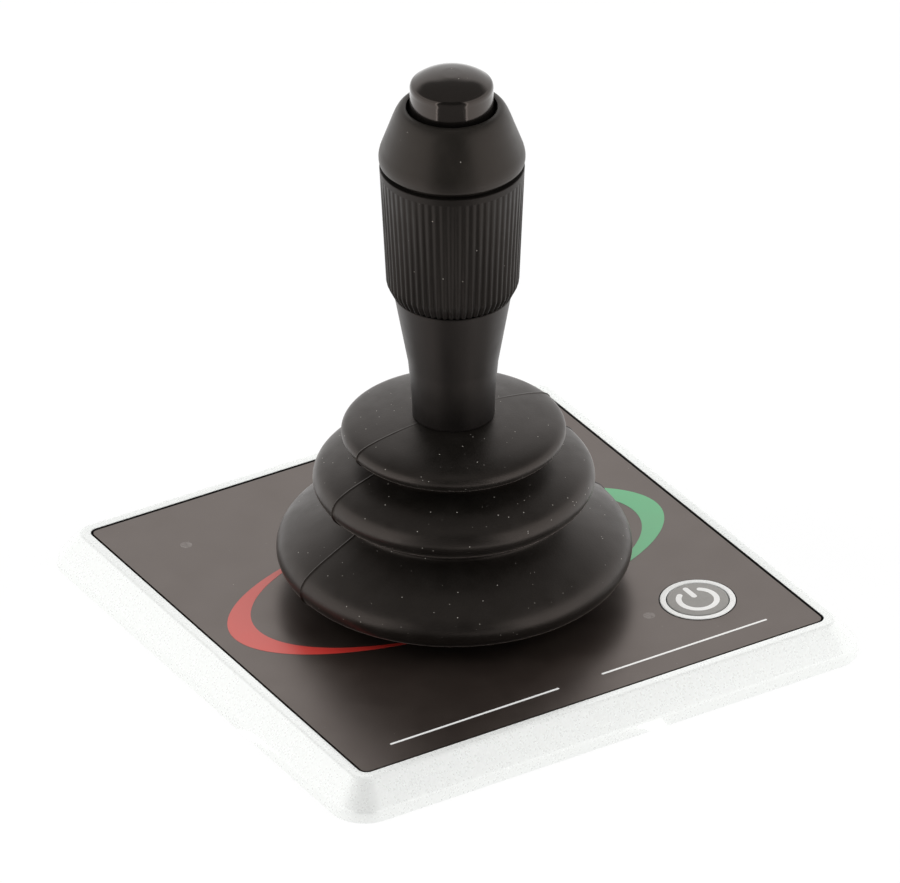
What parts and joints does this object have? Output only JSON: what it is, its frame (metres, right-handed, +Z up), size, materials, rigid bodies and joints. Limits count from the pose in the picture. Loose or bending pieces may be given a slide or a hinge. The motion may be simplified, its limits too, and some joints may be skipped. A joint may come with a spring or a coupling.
{
  "type": "marine joystick control panel",
  "caption": "Square flush-mounted control panel with a sprung joystick in a tiered boot, a ribbed twist grip, a thumb button and a round power key.",
  "frame": {"origin": "middle of the stud pattern on the console's surface, which the bezel's foot rests on", "axes": "+Z up out of the console along the lever at rest, +X to the right along the panel's front edge, +Y away from the operator"},
  "size_m": [0.085, 0.085, 0.1313],
  "materials": {
    "bezel_silver": "satin silver paint on a moulded frame",
    "moulding_black": "fine spark texture",
    "overlay_film": "satin printed film with two coloured arcs",
    "circuit_film": "smooth film",
    "seal_rubber": "closed-cell foam rubber",
    "stainless": "turned stainless steel",
    "halo_white": "translucent white",
    "key_grey": "smooth grey with a printed symbol",
    "switch_black": "moulded",
    "light_window": "smoked, unlit",
    "boot_rubber": "satin silicone rubber with dust",
    "bearing_plastic": "self-lubricating plastic",
    "spring_wire": "bright spring wire",
    "board_green": "solder mask",
    "chip_black": "moulded package",
    "socket_metal": "nickel-plated brass",
    "magnet": "plated magnet",
    "grip_black": "satin moulding",
    "sleeve_rubber": "ribbed satin rubber",
    "cap_black": "satin moulding",
    "button_black": "polished"
  },
  "bodies": {
    "panel": {"bezel_frame": "bezel_silver", "chassis_plate": "moulding_black", "panel_overlay": "overlay_film", "membrane_circuit": "circuit_film", "flange_gasket": "seal_rubber", "mounting_studs": "stainless", "key_halo": "halo_white", "key_switch": "switch_black", "led_windows": "light_window", "status_leds": "light_window", "boot": "boot_rubber", "boot_clamp_ring": "moulding_black", "gimbal_housing": "moulding_black", "outer_pivot_pins": "stainless", "gimbal_screws": "stainless", "spring_seat": "bearing_plastic", "centring_spring": "spring_wire", "rear_housing": "moulding_black", "housing_seal": "seal_rubber", "rear_screws": "stainless", "circuit_board": "board_green", "board_screws": "stainless", "tilt_sensor": "chip_black", "board_chips": "chip_black", "power_socket": "socket_metal", "bus_socket": "socket_metal", "socket_nuts": "socket_metal"},
    "gimbal_ring": {"gimbal_ring": "bearing_plastic"},
    "lever": {"lever_shaft": "stainless", "lever_hub": "bearing_plastic", "cross_pin": "stainless", "magnet_holder": "bearing_plastic", "tilt_magnet": "magnet", "grip_stem": "grip_black", "twist_bush": "bearing_plastic", "retaining_ring": "stainless", "twist_sensor": "chip_black", "button_switch": "switch_black", "twist_spring": "spring_wire"},
    "twist_knob": {"grip_sleeve": "sleeve_rubber", "dome_cap": "cap_black", "button_retainer": "moulding_black", "twist_magnet": "magnet", "button_spring": "spring_wire"},
    "push_button": {"push_button": "button_black"},
    "power_key": {"power_key": "key_grey"}
  },
  "joints": [
    {"name": "lever_fore_aft", "type": "hinge", "parent": "panel", "child": "gimbal_ring", "pos_m": [0, 0, -0.006], "axis": [1, 0, 0], "range_deg": [-18, 18], "stiffness_Nm_per_rad": 0.25, "deforming": ["boot", "centring_spring"]},
    {"name": "lever_side", "type": "hinge", "parent": "gimbal_ring", "child": "lever", "pos_m": [0, 0, -0.006], "axis": [0, 1, 0], "range_deg": [-18, 18], "stiffness_Nm_per_rad": 0.25, "deforming": ["boot", "centring_spring"]},
    {"name": "grip_twist", "type": "hinge", "parent": "lever", "child": "twist_knob", "pos_m": [0, 0, 0.0535], "axis": [0, 0, 1], "range_deg": [-25, 25], "stiffness_Nm_per_rad": 0.02, "deforming": ["twist_spring"]},
    {"name": "button_push", "type": "slide", "parent": "twist_knob", "child": "push_button", "axis": [0, 0, -1], "range_m": [0, 0.0015], "stiffness_N_per_m": 300, "deforming": ["button_spring"]},
    {"name": "key_press", "type": "slide", "parent": "panel", "child": "power_key", "axis": [0, 0, -1], "range_m": [0, 0.0004], "stiffness_N_per_m": 300}
  ]
}
